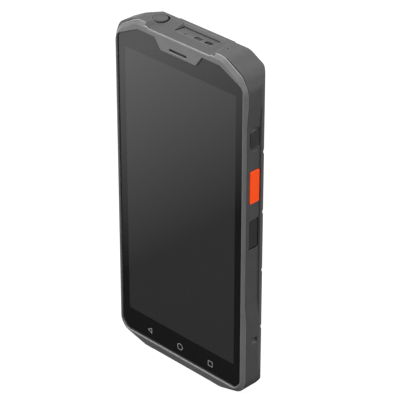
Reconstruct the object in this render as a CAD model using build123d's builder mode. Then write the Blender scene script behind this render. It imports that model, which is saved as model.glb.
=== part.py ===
from build123d import *
import os

# Hand-held data terminal: a slab with a big touch screen in front, a barcode
# scanner that looks out of the top end, sprung keys on both sides and a
# battery under a door in the back.
#
# Frame (millimetres): the terminal stands on its bottom end. +Z runs along its
# length to the scanner end, the screen faces -Y, and +X is the user's right.
# The origin is the centre of the footprint, on the standing plane.

os.makedirs("parts", exist_ok=True)

# ---------------------------------------------------------------- dimensions
# Display and touch glass
display_width = 62.5
display_height = 125.0
module_border = 1.25          # display module round its active area
side_border = 4.05            # black glass beside the active area
chin_border = 10.9            # black glass below it
brow_border = 10.3            # black glass above it
glass_thickness = 0.8
glass_shoulder_inset = 12.2   # slanted top corners of the glass
glass_shoulder_drop = 5.8
glass_heel_width = 3.0        # small bottom corners of the glass
glass_heel_height = 3.5
glass_corner_radius = 3.0
tab_root_half = 13.35         # bezel tab that reaches down into the glass
tab_tip_half = 9.9
tab_depth = 4.7
tab_radius = 0.8
glass_gap = 0.1
tape_inset = 0.2              # tape edge inside the glass edge

# Outline of the body, seen from the front
side_rim = 2.2                # from glass to side face
chin_rim = 5.0                # from glass to bottom end
crown_rim = 4.0               # from glass to top end
crown_side = 13.0             # side face to the flat of the top end
shoulder_inset = 3.3
shoulder_drop = 5.6
side_top_drop = 11.0
sole_side = 15.7              # side face to the flat of the bottom end
heel_inset = 3.0
heel_height = 3.5
side_bottom = 8.0
corner_radius = 7.0
bumper = 0.9                  # housing corners stand out past the bezel
sole_width = 4.3              # the arch lies between the two soles
arch_height = 0.25
arch_run = 1.2

# Layers from the front to the back
lip_height = 0.8              # bezel stands proud of the glass
tape_thickness = 0.2
module_thickness = 2.0
chassis_thickness = 0.8
shield_height = 1.2
board_thickness = 1.0
board_gap = 0.1
bay_floor_thickness = 0.8
battery_thickness = 5.4
door_gap = 0.2
door_thickness = 1.3
door_proud = 0.5

# Bezel
skirt_depth = 2.1             # bezel to its seam inside the housing lip
wrap_depth = 0.55             # lip of the housing round the bezel
wrap_inset = 1.3
wrap_gap = 0.15
ledge_thickness = 1.0         # what the glass is taped to
bezel_bevel = 1.5
chin_bevel_height = 3.7       # long slope under the chin
chin_bevel_depth = 1.35
chin_flat = 0.65              # flat strip between glass and slope
lip_bevel = 0.25
dip_side = 7.5                # hollow in the flat of the top end
dip_run = 3.5
dip_depth = 1.6
dip_length = 10.8
dip_bevel = 0.3

# Main housing
side_wall = 1.9
back_wall = 1.2
housing_gap = 0.1             # between nested parts
back_edge_radius = 0.6
side_back_radius = 5.5
facet_front = 7.7             # slope behind the left shoulder, over the jack
facet_fall = 2.44
heel_back_radius = 6.5        # across each heel, at 45 degrees
tongue_side = 5.0             # housing tongue over the bezel, in the hollow
tongue_front = 0.5            # behind the front face
tongue_drop = 2.6             # below the top end
waist_depth = 0.7             # key area, set back between the bumpers
waist_bottom = 38.0
waist_top_drop = 18.0         # below the top end
waist_run = 9.0
waist_length = 9.0            # from the front face
boss_radius = 2.5
screw_side = 9.0              # to the side face
screw_bottom = 8.2
screw_top_drop = 8.2
screw_radius = 0.8
screw_clearance = 0.1
screw_head_radius = 1.7
screw_head_height = 1.2
screw_recess = 1.6
screw_bite = 1.3              # thread length in the bezel
thread_gap = 0.02
screw_tip_gap = 0.1
cross_length = 1.9
cross_width = 0.5
cross_depth = 0.5

# Battery bay and door
battery_bottom = 30.0
battery_head_room = 41.2      # scanner and camera, above the battery
tub_side_room = 1.6           # battery tub to key bracket
battery_radius = 2.0
bay_gap = 0.3
bay_wall = 1.0
door_side_lap = 2.0           # door past the battery, at the sides
door_end_lap = 6.5            # and at both ends
door_radius = 4.0
door_edge_gap = 0.15
door_edge_bevel = 0.45
land_width = 1.0              # rim that the door lies on, past its edge
land_thickness = 1.0
land_gap = 0.1
seal_width = 0.6
seal_groove = 0.4
seal_gap = 0.05
seal_radius = 2.5
seal_squeeze_gap = 0.05       # seal to door
hook_x = 18.0                 # two hooks on the door's lower edge
hook_width = 8.0
hook_thickness = 0.8
hook_reach = 2.0
hook_leg = 1.2
hook_inset = 0.5              # from the door's lower edge
hook_gap = 0.2
hook_slot_length = 3.5
nail_notch_half = 5.0
nail_notch_depth = 1.0
contact_blade_width = 1.0
contact_blade_pitch = 2.5
contact_block_width = 12.0
contact_block_height = 3.2
contact_block_depth = 3.0
contact_sink = 1.2
contact_gap = 0.1
contact_blade_y = 2.2         # behind the board
contact_blade_depth = 0.5

# Rubber grips on the rear side edges
grip_thickness = 0.7
grip_bottom = 12.0
grip_top_drop = 10.2          # below the top end
grip_wrap = 5.2               # how far it wraps onto the back
groove_depth = 0.25
groove_width = 1.6
groove_slope = 3.5
groove_first = 29.7
groove_pitch = 27.4
groove_count = 4

# Side keys, all on one line
key_line = 6.0                # behind the front face
key_width = 5.3
key_gap = 0.15
key_corner = 0.9
key_flange = 1.0              # catches behind the wall, above and below
key_flange_thickness = 0.8
key_flange_gap = 0.15
key_nib = 0.5
key_nib_radius = 1.0
key_bevel = 0.35
key_travel = 0.35
scan_key_length = 14.7
scan_key_proud = 0.5
low_key_length = 13.6
low_key_sink = 0.3
power_drop = 32.9             # middle of the power key below the top end
scan_key_pitch = 21.4         # power key to scan key
low_key_pitch = 21.8          # scan key to low key
power_width = 4.2
power_length = 8.2
power_corner = 1.8
power_cup_width = 6.2
power_cup_length = 10.6
power_cup_depth = 0.5
power_sink = 0.1
rocker_proud = 0.4
rocker_lobe = 5.0             # nib distance from the rocker's middle
rocker_nib = 0.65
rocker_flange_length = 5.0
rocker_flange_front = 0.4
rocker_flange_back = 1.0
switch_size = 3.0
switch_height = 0.5
plunger_radius = 0.8
plunger_height = 0.25
plunger_gap = 0.05            # left at full key travel
flex_thickness = 0.2
flex_back = 0.4
flex_tail_width = 1.3
flex_tail_lift = 0.2
flex_tail_lap = 1.0           # on the main board
bracket_thickness = 0.9
bracket_margin = 6.0
bracket_back = 1.2
bracket_foot = 1.8
bracket_foot_thickness = 0.7

# Top end: jack plug, scanner pocket, microphone
jack_side = 6.0               # to the end of the flat top
jack_y = 9.2                  # behind the front face
jack_radius = 1.8
jack_length = 14.0
jack_width = 6.4
jack_depth = 5.2
plug_cap_radius = 3.2
plug_cap_height = 1.1
plug_cap_gap = 0.2
plug_cap_sink = 0.05
plug_stem_gap = 0.1
plug_stem_length = 8.0
plug_cap_shift = 0.7          # cap nearer the front than its stem
plug_pry_shift = 0.9          # nail gap on the cap's right
plug_pry_angle = 15.0
pocket_left = -7.7
pocket_right = 13.2
pocket_front = 5.4            # behind the front face
pocket_back = 11.3
pocket_bevel = 1.0            # slope round it, down to the insert
pocket_floor_drop = 3.2       # below the top end
pocket_pad = 1.9
insert_gap = 0.1
insert_left_gap = 0.9
insert_back_gap = 0.6
insert_front_drop = 0.85
insert_back_drop = 1.2
eye_pitch = 5.75
eye_middle = 7.45
eye_width = 4.0
eye_depth = 2.4
eye_y = 7.0
eye_window_thickness = 0.8
eye_window_sink = 0.25
eye_ledge = 0.4
eye_gap = 0.05
spot_x = -1.7
spot_y = 6.25
spot_radius = 0.8
engine_width = 21.5
engine_depth = 7.0
engine_length = 13.0
engine_lens_radius = 1.2
engine_lens_depth = 1.0
mic_side = 4.2                # to the end of the flat top
mic_y = 7.5
mic_hole_radius = 0.45
mic_width = 3.5
mic_depth = 2.7
mic_height = 1.1
low_mic_x = 12.0

# Earpiece
ear_slot_width = 10.0
ear_slot_height = 1.3
ear_slot_drop = 2.7           # below the top of the glass
ear_mesh_sink = 0.9
ear_mesh_thickness = 0.3
ear_mesh_gap = 0.05
receiver_width = 12.0
receiver_height = 4.4
receiver_depth = 1.5
receiver_room = 0.5           # hole in the chassis plate, past the receiver

# Gasket between bezel and chassis
gasket_inset = 1.5
gasket_width = 0.9
gasket_ring = 0.6             # round the screw bosses

# Boards
board_side_room = 1.4         # main board to key bracket
main_board_bottom = 60.0
main_board_drop = 5.2         # below the top end
board_corner_inset = 5.1
board_corner_drop = 7.5
sub_board_side = 13.0         # to the side face
sub_board_bottom = 3.0
sub_board_top = 25.0
board_cut_gap = 0.6
board_screw_edge = 3.0        # from the side of the board
board_screw_tub_gap = 4.7     # lower screws above the battery tub
board_screw_top_gap = 12.0    # upper screws below the board's top edge
sub_screw_edge = 3.5
sub_screw_z = 21.0
post_radius = 1.9
board_screw_radius = 0.6
board_screw_head = 1.3
board_screw_head_height = 0.5
board_screw_bite = 1.0
board_hole_gap = 0.1
link_flex_width = 12.0
link_flex_lap = 3.0           # over each board
can_width = 24.0
can_height = 42.0
can_bottom = 68.0
can_middle = 14.0
can_gap = 0.1                 # to the chassis plate
can_corner = 0.8

# Back: camera, lamp, loudspeaker, charging pads
hump_half = 15.4              # in line with the scanner pocket
hump_bevel = 0.45
hump_lead = 0.3               # from the nail notch to the hump
camera_engine_gap = 2.7       # camera below the scan engine
camera_size = 8.4
camera_window_radius = 4.4
camera_window_thickness = 0.6
camera_window_ledge = 0.7
window_sink = 0.05
window_gap = 0.05
lens_radius = 2.6
flash_x = 9.0
flash_radius = 1.8
flash_length = 2.4
barrel_gap = 0.25             # lens barrel to camera window
speaker_side = 7.5            # to the side of the sub board
speaker_bottom = 5.0
speaker_width = 15.0
speaker_height = 12.0
speaker_depth = 3.4
speaker_slots = 3
speaker_slot_length = 8.0
speaker_slot_width = 1.1
speaker_slot_pitch = 2.6
pad_count = 4
pad_pitch = 3.5
pad_radius = 1.1
pad_gap = 0.05
pad_z = 13.0
pad_sink = 0.1
pad_head = 0.6                # inside the wall
pad_pin_radius = 0.6

# Bottom end: charging socket, vibration motor
usb_width = 9.0
usb_height = 3.2
usb_length = 7.3
usb_wall = 0.3
usb_tongue_width = 6.7
usb_tongue_thickness = 0.7
usb_port_gap = 0.2
usb_mouth = 0.9               # socket mouth above the standing plane
usb_tongue_sink = 0.8
usb_shell_back = 0.6
motor_side = 6.5              # to the side of the sub board
motor_z = 13.0
motor_radius = 4.0
motor_height = 2.7

# Notches on the side faces where a cradle or pistol grip latches
latch_z = 28.0
latch_height = 3.0
latch_width = 3.0
latch_depth = 1.0
latch_y = 6.7

# ---------------------------------------------------------- derived places
glass_half = display_width / 2 + side_border
glass_bottom = chin_rim
glass_top = glass_bottom + chin_border + display_height + brow_border
half_width = glass_half + side_rim
body_height = glass_top + crown_rim
display_z = glass_bottom + chin_border + display_height / 2
module_width = display_width + 2 * module_border
module_height = display_height + 2 * module_border

stack = [lip_height, glass_thickness, module_thickness, chassis_thickness, shield_height,
         board_thickness, board_gap, bay_floor_thickness, battery_thickness, door_gap,
         door_thickness]
body_depth = sum(stack)
front_face = -body_depth / 2
glass_face = front_face + lip_height
glass_back = glass_face + glass_thickness
ledge_face = glass_back + tape_thickness
ledge_back = ledge_face + ledge_thickness
module_back = glass_back + module_thickness
chassis_back = module_back + chassis_thickness
board_front = chassis_back + shield_height
board_back = board_front + board_thickness
bay_front = board_back + board_gap
bay_floor = bay_front + bay_floor_thickness
battery_back = bay_floor + battery_thickness
door_face = battery_back + door_gap
door_back = door_face + door_thickness
back_face = door_back - door_proud
wall_face = back_face - back_wall
seam = front_face + skirt_depth
wrap_face = seam - wrap_depth + wrap_gap
waist_back = front_face + waist_length
crown_half = half_width - crown_side
dip_half = crown_half - dip_side
tongue_half = crown_half - tongue_side
sole_half = half_width - sole_side
arch_half = sole_half - sole_width
waist_top = body_height - waist_top_drop
grip_top = body_height - grip_top_drop
waist_face = half_width - waist_depth
inner_half = half_width - side_wall
nest = side_wall + housing_gap
ceiling = body_height - side_wall
floor = side_wall

screw_top = body_height - screw_top_drop
screw_x = half_width - screw_side
screw_places = [(x, z) for x in (-screw_x, screw_x) for z in (screw_bottom, screw_top)]
head_seat = back_face - screw_recess
power_z = body_height - power_drop
scan_key_z = power_z - scan_key_pitch
low_key_z = scan_key_z - low_key_pitch
key_y = front_face + key_line
flange_face = inner_half - key_flange_gap
nib_tip = flange_face - key_flange_thickness - key_nib
plunger_tip = nib_tip - key_travel - plunger_gap
switch_face = plunger_tip - plunger_height
flex_face = switch_face - switch_height
bracket_face = flex_face - flex_thickness
chin_top = chin_rim - chin_flat

battery_height = body_height - battery_head_room - battery_bottom
battery_top = battery_bottom + battery_height
battery_width = 2 * (bracket_face - bracket_thickness - tub_side_room - bay_wall - bay_gap)
bay_width = battery_width + 2 * bay_gap
bay_height = battery_height + 2 * bay_gap
battery_z = battery_bottom + battery_height / 2
door_width = battery_width + 2 * door_side_lap
door_height = battery_height + 2 * door_end_lap
door_bottom = battery_bottom - door_end_lap
door_top = battery_top + door_end_lap
land_face = door_face - land_gap
lip_z = door_bottom - door_edge_gap
recess_top = door_top + door_edge_gap
hump_bottom = recess_top + nail_notch_depth + hump_lead

bracket_bottom = low_key_z - low_key_length / 2 - bracket_margin
bracket_top = power_z + power_length / 2 + bracket_margin
pocket_y0 = front_face + pocket_front
pocket_y1 = front_face + pocket_back
pocket_floor = body_height - pocket_floor_drop
pad_front = chassis_back + housing_gap
engine_top = ceiling - pocket_pad
engine_back = chassis_back + housing_gap + engine_depth
engine_x = (pocket_left + pocket_right) / 2
jack_x = jack_side - crown_half
mic_x = crown_half - mic_side
plug_y = front_face + jack_y
cap_y = plug_y - plug_cap_shift
tongue_face = front_face + tongue_front
tongue_bottom = body_height - tongue_drop
plug_top = body_height - plug_cap_sink
main_board_half = bracket_face - bracket_thickness - board_side_room
main_board_top = body_height - main_board_drop
board_corner_half = main_board_half - board_corner_inset
board_screw_x = main_board_half - board_screw_edge
flex_tail_reach = main_board_half - flex_tail_lap
sub_board_half = half_width - sub_board_side
sub_screw_x = sub_board_half - sub_screw_edge
speaker_x = speaker_side - sub_board_half
motor_x = sub_board_half - motor_side
board_screw_low = battery_top + bay_gap + bay_wall + board_screw_tub_gap
board_screw_high = main_board_top - board_screw_top_gap
main_posts = [(side * board_screw_x, z) for side in (-1, 1)
              for z in (board_screw_low, board_screw_high)]
sub_posts = [(side * sub_screw_x, sub_screw_z) for side in (-1, 1)]
usb_y = board_back + usb_height / 2
latch_y0 = front_face + latch_y - latch_width / 2
mic_y0 = front_face + mic_y
window_face = door_back - window_sink
window_seat = window_face - camera_window_thickness
camera_z = engine_top - engine_length - camera_engine_gap - camera_size / 2
eye_y0 = front_face + eye_y
eye_places = [(eye_middle + side * eye_pitch / 2, eye_y0) for side in (-1, 1)]
spot_place = (spot_x, front_face + spot_y)
toe_z = door_bottom - hook_reach
seal_ring_width = (bay_width + door_width) / 2
seal_ring_height = battery_height + 2 * (battery_bottom - lip_z - hook_slot_length) - 3 * seal_width


# ------------------------------------------------------------ shared shapes
def at_depth(y):
    """Sketch plane parallel to the screen: its normal points to the front."""
    return Plane.XZ.offset(-y)


def at_height(z):
    """Sketch plane parallel to the standing plane."""
    return Plane.XY.offset(z)


def corner_plane(x, z, out, up):
    """Sketch plane across a body edge at (x, z): x points outwards, y to the back."""
    return Plane(origin=(x, 0, z), x_dir=(out, 0, up), z_dir=(-up, 0, out))


def body_outline(inset=0.0, push=0.0):
    """Front view of the body, drawn in by inset, its corners pushed out."""
    with BuildLine() as edge:
        Polyline(
            (0, 0),
            (sole_half + push, 0),
            (half_width - heel_inset + push / 2, heel_height - push / 2),
            (half_width, side_bottom),
            (half_width, body_height - side_top_drop),
            (half_width - shoulder_inset + push, body_height - shoulder_drop + push),
            (crown_half + 2 * push, body_height),
            (0, body_height),
        )
        mirror(about=Plane.YZ)
    make_face(edge.edges())
    fillet(vertices().filter_by(lambda v: abs(v.X) > arch_half), corner_radius)
    if inset:
        offset(amount=-inset, kind=Kind.INTERSECTION)


def glass_outline(grow=0.0):
    """Front view of the touch glass, with its notch, drawn out by grow."""
    with BuildLine() as edge:
        Polyline(
            (0, glass_bottom),
            (glass_half - glass_heel_width, glass_bottom),
            (glass_half, glass_bottom + glass_heel_height),
            (glass_half, glass_top - glass_shoulder_drop),
            (glass_half - glass_shoulder_inset, glass_top),
            (tab_root_half, glass_top),
            (tab_tip_half, glass_top - tab_depth),
            (0, glass_top - tab_depth),
        )
        mirror(about=Plane.YZ)
    make_face(edge.edges())
    outer = vertices().filter_by(lambda v: abs(v.X) > tab_root_half + tab_radius)
    fillet(outer, glass_corner_radius)
    inner = vertices().filter_by(lambda v: tab_radius < abs(v.X) < tab_root_half + tab_radius)
    fillet(inner, tab_radius)
    if grow:
        offset(amount=grow, kind=Kind.INTERSECTION)


shoulder_rise = shoulder_drop - bumper
shoulder_run = crown_side - shoulder_inset - bumper
shoulder_x = half_width - shoulder_inset + bumper - shoulder_run / 2
shoulder_z = body_height - shoulder_rise / 2
heel_x = half_width - heel_inset + bumper / 2
heel_z = heel_height - bumper / 2
facet_y = front_face + facet_front


def body_block(start, inset=0.0, back_inset=0.0, push=bumper):
    """Body solid from the depth start to the back, drawn in by the insets."""
    end = back_face - back_inset
    with BuildPart() as block:
        with BuildSketch(at_depth(start)):
            body_outline(inset, push)
        extrude(amount=start - end)
        if not inset:
            fillet(block.faces().sort_by(Axis.Y)[-1].edges(), back_edge_radius)
        with BuildSketch(Plane.XY):
            with Locations((0, (start + end) / 2)):
                plan = Rectangle(2 * (half_width - inset), end - start)
            fillet(plan.vertices().group_by(Axis.Y)[-1], side_back_radius - inset)
        extrude(amount=body_height, mode=Mode.INTERSECT)
        for side in (-1, 1):
            with BuildSketch(corner_plane(side * heel_x, heel_z, side, -1)):
                with Locations((-heel_back_radius, back_face - heel_back_radius)):
                    Rectangle(body_depth, body_depth, align=(Align.MIN, Align.MIN))
                    Circle(heel_back_radius - back_inset, mode=Mode.SUBTRACT)
            extrude(amount=body_depth, both=True, mode=Mode.SUBTRACT)
        with BuildSketch(corner_plane(-shoulder_x, shoulder_z, -shoulder_rise, shoulder_run)):
            with BuildLine():
                Polyline(
                    (-inset, facet_y),
                    (-inset - facet_fall, door_back),
                    (body_depth, door_back),
                    (body_depth, facet_y),
                    close=True,
                )
            make_face()
        extrude(amount=body_depth, both=True, mode=Mode.SUBTRACT)
    return block.part


def save(piece, name):
    """Label a finished piece and write it to its own file."""
    piece.part.label = name
    export_step(piece.part, f"parts/{name}.step")


# Hollow in the middle of the top end, fading out towards the back
dip_way = Vector(0, dip_length, dip_depth)
with BuildPart() as crown_dip:
    with BuildSketch(at_depth(front_face)):
        with BuildLine():
            Polyline(
                (-dip_half, body_height - dip_depth),
                (dip_half, body_height - dip_depth),
                (dip_half + 2 * dip_run, body_height + dip_depth),
                (-dip_half - 2 * dip_run, body_height + dip_depth),
                close=True,
            )
        make_face()
    extrude(amount=dip_way.length, dir=dip_way)

# Arch under the bottom end, which leaves a sole at each corner
with BuildPart() as arch:
    with BuildSketch(at_depth(front_face)):
        with BuildLine():
            Polyline(
                (-arch_half - arch_run, -arch_height),
                (-arch_half - arch_run, 0),
                (-arch_half, arch_height),
                (arch_half, arch_height),
                (arch_half + arch_run, 0),
                (arch_half + arch_run, -arch_height),
                close=True,
            )
        make_face()
    extrude(amount=-body_depth)

# Waist on both side faces, where the keys are
with BuildPart() as waist:
    with BuildSketch(at_depth(front_face)):
        with BuildLine():
            Polyline(
                (half_width + waist_depth, waist_bottom),
                (half_width, waist_bottom),
                (waist_face, waist_bottom + waist_run),
                (waist_face, waist_top - waist_run),
                (half_width, waist_top),
                (half_width + waist_depth, waist_top),
                close=True,
            )
        make_face()
        mirror(about=Plane.YZ)
    extrude(amount=front_face - waist_back)

# ------------------------------------------------------------- front bezel
with BuildPart() as front_bezel:
    with BuildSketch(at_depth(wrap_face - wrap_gap)):
        body_outline()
    extrude(amount=wrap_face - wrap_gap - front_face)
    chamfer(front_bezel.faces().sort_by(Axis.Y)[0].edges(), bezel_bevel)
    with BuildSketch(at_depth(seam)):
        body_outline(wrap_inset)
    extrude(amount=seam - wrap_face + wrap_gap)
    with BuildSketch(at_depth(ledge_back)):
        body_outline(nest)
    extrude(amount=ledge_back - seam)
    with BuildSketch(at_depth(module_back)):
        with Locations(*screw_places):
            Circle(boss_radius - housing_gap)
    extrude(amount=module_back - ledge_back)
    with BuildSketch(Plane.YZ):
        with BuildLine():
            Polyline(
                (front_face - chin_bevel_depth, chin_top + chin_bevel_height),
                (front_face + 2 * chin_bevel_depth, chin_top - 2 * chin_bevel_height),
                (front_face - chin_bevel_depth, chin_top - 2 * chin_bevel_height),
                close=True,
            )
        make_face()
    extrude(amount=half_width, both=True, mode=Mode.SUBTRACT)
    add(crown_dip.part, mode=Mode.SUBTRACT)
    with BuildSketch(Plane.YZ):
        with BuildLine():
            Polyline(
                (front_face, body_height - dip_depth - dip_bevel),
                (front_face + dip_bevel, body_height - dip_depth),
                (front_face + dip_bevel, body_height),
                (front_face, body_height),
                close=True,
            )
        make_face()
    extrude(amount=dip_half, both=True, mode=Mode.SUBTRACT)
    with BuildSketch(at_depth(tongue_face)):
        with Locations((0, body_height)):
            Rectangle(2 * tongue_half, 2 * tongue_drop)
    extrude(amount=tongue_face - seam, mode=Mode.SUBTRACT)
    add(waist.part, mode=Mode.SUBTRACT)
    add(arch.part, mode=Mode.SUBTRACT)
    with BuildSketch(at_depth(front_face)):
        glass_outline(glass_gap)
    extrude(amount=front_face - ledge_face, mode=Mode.SUBTRACT)
    with BuildSketch(at_depth(front_face)):
        glass_outline(glass_gap + lip_bevel)
    extrude(amount=-lip_bevel, taper=45, mode=Mode.SUBTRACT)
    with BuildSketch(at_depth(ledge_face)):
        with Locations((0, display_z)):
            Rectangle(module_width + 2 * housing_gap, module_height + 2 * housing_gap)
    extrude(amount=ledge_face - module_back, mode=Mode.SUBTRACT)
    with BuildSketch(at_depth(front_face)):
        with Locations((0, glass_top - ear_slot_drop)):
            SlotOverall(ear_slot_width, ear_slot_height)
    extrude(amount=front_face - ledge_back, mode=Mode.SUBTRACT)
    with BuildSketch(at_depth(module_back - screw_bite)):
        with Locations(*screw_places):
            Circle(screw_radius + thread_gap)
    extrude(amount=-screw_bite, mode=Mode.SUBTRACT)
save(front_bezel, "front_bezel")

# ------------------------------------------------ glass, tape and display
with BuildPart() as touch_glass:
    with BuildSketch(at_depth(glass_back)):
        glass_outline()
    extrude(amount=glass_thickness)
save(touch_glass, "touch_glass")

with BuildPart() as glass_tape:
    with BuildSketch(at_depth(ledge_face)):
        glass_outline(-tape_inset)
        with Locations((0, display_z)):
            Rectangle(module_width + 2 * housing_gap, module_height + 2 * housing_gap,
                      mode=Mode.SUBTRACT)
    extrude(amount=tape_thickness)
save(glass_tape, "glass_tape")

with BuildPart() as display_module:
    with BuildSketch(at_depth(module_back)):
        with Locations((0, display_z)):
            Rectangle(module_width, module_height)
    extrude(amount=module_thickness)
save(display_module, "display_module")

# ---------------------------------------------------------------- earpiece
with BuildPart() as earpiece_mesh:
    with BuildSketch(at_depth(front_face + ear_mesh_sink + ear_mesh_thickness)):
        with Locations((0, glass_top - ear_slot_drop)):
            SlotOverall(ear_slot_width - 2 * ear_mesh_gap, ear_slot_height - 2 * ear_mesh_gap)
    extrude(amount=ear_mesh_thickness)
save(earpiece_mesh, "earpiece_mesh")

with BuildPart() as earpiece_receiver:
    with BuildSketch(at_depth(ledge_back + receiver_depth)):
        with Locations((0, glass_top - ear_slot_drop)):
            RectangleRounded(receiver_width, receiver_height, ear_slot_height / 2)
    extrude(amount=receiver_depth)
save(earpiece_receiver, "earpiece_receiver")

# ----------------------------------------------------------- chassis plate
with BuildPart() as chassis_plate:
    with BuildSketch(at_depth(chassis_back)):
        body_outline(nest)
        with Locations((0, glass_top - ear_slot_drop)):
            Rectangle(receiver_width + 2 * receiver_room, receiver_height + 2 * receiver_room,
                      mode=Mode.SUBTRACT)
        with Locations(*[(side * inner_half, (bracket_bottom + bracket_top) / 2)
                         for side in (-1, 1)]):
            Rectangle(2 * (inner_half - plunger_tip), bracket_top - bracket_bottom,
                      mode=Mode.SUBTRACT)
        with Locations(*screw_places):
            Circle(screw_radius + screw_clearance, mode=Mode.SUBTRACT)
    extrude(amount=chassis_thickness)
    with BuildSketch(at_depth(board_front)):
        with Locations(*main_posts, *sub_posts):
            Circle(post_radius)
            Circle(board_screw_radius + thread_gap, mode=Mode.SUBTRACT)
    extrude(amount=shield_height)
save(chassis_plate, "chassis_plate")

with BuildPart() as frame_gasket:
    with BuildSketch(at_depth(module_back)):
        body_outline(nest + gasket_inset)
        body_hole = offset(amount=-gasket_width, mode=Mode.PRIVATE, kind=Kind.INTERSECTION)
        add(body_hole, mode=Mode.SUBTRACT)
        with Locations(*screw_places):
            Circle(boss_radius + gasket_ring)
            Circle(boss_radius, mode=Mode.SUBTRACT)
    extrude(amount=module_back - ledge_back)
save(frame_gasket, "frame_gasket")

# ------------------------------------------------------------ main housing
outer_block = body_block(seam)
cavity_block = body_block(seam, side_wall, back_wall, 0)
grip_core = body_block(seam, grip_thickness, grip_thickness)
groove_core = body_block(seam, groove_depth, groove_depth)

# Where the rubber grips lie: a shallow bed round each rear side edge
with BuildPart() as grip_beds:
    with BuildSketch(at_depth(waist_back)):
        for side in (-1, 1):
            with Locations((side * (half_width - grip_wrap / 2), (grip_bottom + grip_top) / 2)):
                Rectangle(grip_wrap, grip_top - grip_bottom)
    extrude(amount=waist_back - back_face)
    add(outer_block, mode=Mode.INTERSECT)
    add(grip_core, mode=Mode.SUBTRACT)

with BuildPart() as main_housing:
    add(outer_block)
    add(cavity_block, mode=Mode.SUBTRACT)

    # lip round the bezel, and a tongue over its top edge in the hollow
    with BuildSketch(at_depth(wrap_face)):
        body_outline(0, bumper)
    extrude(amount=wrap_face - seam)
    with BuildSketch(at_depth(wrap_face)):
        body_outline(wrap_inset - housing_gap)
    extrude(amount=wrap_face - seam, mode=Mode.SUBTRACT)
    with BuildSketch(at_depth(tongue_face + housing_gap)):
        with Locations((0, (tongue_bottom + housing_gap + body_height) / 2)):
            Rectangle(2 * (tongue_half - housing_gap), tongue_drop - housing_gap)
    extrude(amount=tongue_face + housing_gap - seam)

    # battery tub and the land that the door lies on
    with BuildSketch(at_depth(bay_front)):
        with Locations((0, battery_z)):
            RectangleRounded(bay_width + 2 * bay_wall, bay_height + 2 * bay_wall,
                             battery_radius + bay_gap + bay_wall)
    extrude(amount=bay_front - wall_face)
    with BuildSketch(at_depth(land_face - land_thickness)):
        with Locations((0, battery_z)):
            RectangleRounded(door_width + 2 * land_width, door_height + 2 * land_width,
                             door_radius + land_width)
    extrude(amount=land_face - land_thickness - wall_face)

    # screw bosses, and the pad round the scanner pocket
    with BuildSketch(at_depth(chassis_back)):
        with Locations(*screw_places):
            Circle(boss_radius)
    extrude(amount=chassis_back - wall_face)
    with BuildSketch(at_height(engine_top)):
        with Locations((engine_x, (pad_front + wall_face) / 2)):
            Rectangle(pocket_right - pocket_left + 2 * pocket_pad, wall_face - pad_front)
    extrude(amount=ceiling - engine_top)

    # raised field behind the scanner and the camera
    with BuildSketch(at_depth(wall_face)):
        with Locations((engine_x, (hump_bottom + body_height) / 2)):
            Rectangle(2 * hump_half, body_height - hump_bottom)
    extrude(amount=wall_face - door_back)
    chamfer(main_housing.faces().sort_by(Axis.Y)[-1].edges(), hump_bevel)

    # battery bay, door recess, seal groove, hook slots and nail notch
    with BuildSketch(at_depth(bay_floor)):
        with Locations((0, battery_z)):
            RectangleRounded(bay_width, bay_height, battery_radius + bay_gap)
    extrude(amount=bay_floor - back_face, mode=Mode.SUBTRACT)
    with BuildSketch(at_depth(land_face)):
        with Locations((0, battery_z)):
            RectangleRounded(door_width + 2 * door_edge_gap, door_height + 2 * door_edge_gap,
                             door_radius + door_edge_gap)
        with Locations((0, recess_top)):
            Rectangle(2 * nail_notch_half, 2 * nail_notch_depth)
    extrude(amount=land_face - back_face, mode=Mode.SUBTRACT)
    with BuildSketch(at_depth(land_face - seal_groove)):
        with Locations((0, battery_z)):
            RectangleRounded(seal_ring_width + seal_width + 2 * seal_gap,
                             seal_ring_height + seal_width + 2 * seal_gap,
                             seal_radius + seal_width)
            RectangleRounded(seal_ring_width - seal_width - 2 * seal_gap,
                             seal_ring_height - seal_width - 2 * seal_gap,
                             seal_radius, mode=Mode.SUBTRACT)
    extrude(amount=-seal_groove, mode=Mode.SUBTRACT)
    with BuildSketch(at_depth(land_face - land_thickness - hook_gap)):
        with Locations(*[(side * hook_x, lip_z + hook_slot_length / 2) for side in (-1, 1)]):
            Rectangle(hook_width + 2 * hook_gap, hook_slot_length)
    extrude(amount=-land_thickness - hook_gap, mode=Mode.SUBTRACT)
    with BuildSketch(at_depth(wall_face)):
        with Locations(*[(side * hook_x, (toe_z - hook_gap + lip_z) / 2) for side in (-1, 1)]):
            Rectangle(hook_width + 2 * hook_gap, lip_z - toe_z + hook_gap)
    extrude(amount=land_thickness + hook_gap, mode=Mode.SUBTRACT)
    with BuildSketch(at_depth(board_back + contact_sink)):
        with Locations((0, battery_z + bay_height / 2)):
            Rectangle(contact_block_width, 4 * bay_wall)
    extrude(amount=-contact_block_depth, mode=Mode.SUBTRACT)

    # screw holes
    with BuildSketch(at_depth(head_seat)):
        with Locations(*screw_places):
            Circle(screw_head_radius + screw_clearance)
    extrude(amount=-screw_recess, mode=Mode.SUBTRACT)
    with BuildSketch(at_depth(chassis_back)):
        with Locations(*screw_places):
            Circle(screw_radius + screw_clearance)
    extrude(amount=chassis_back - head_seat, mode=Mode.SUBTRACT)

    # camera window, lens hole and lamp hole
    with BuildSketch(at_depth(window_seat)):
        with Locations((0, camera_z)):
            Circle(camera_window_radius + window_gap)
    extrude(amount=window_seat - door_back, mode=Mode.SUBTRACT)
    with BuildSketch(at_depth(land_face - land_thickness)):
        with Locations((0, camera_z)):
            Circle(camera_window_radius - camera_window_ledge)
        with Locations((flash_x, camera_z)):
            Circle(flash_radius + window_gap)
    extrude(amount=land_face - land_thickness - door_back, mode=Mode.SUBTRACT)

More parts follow.
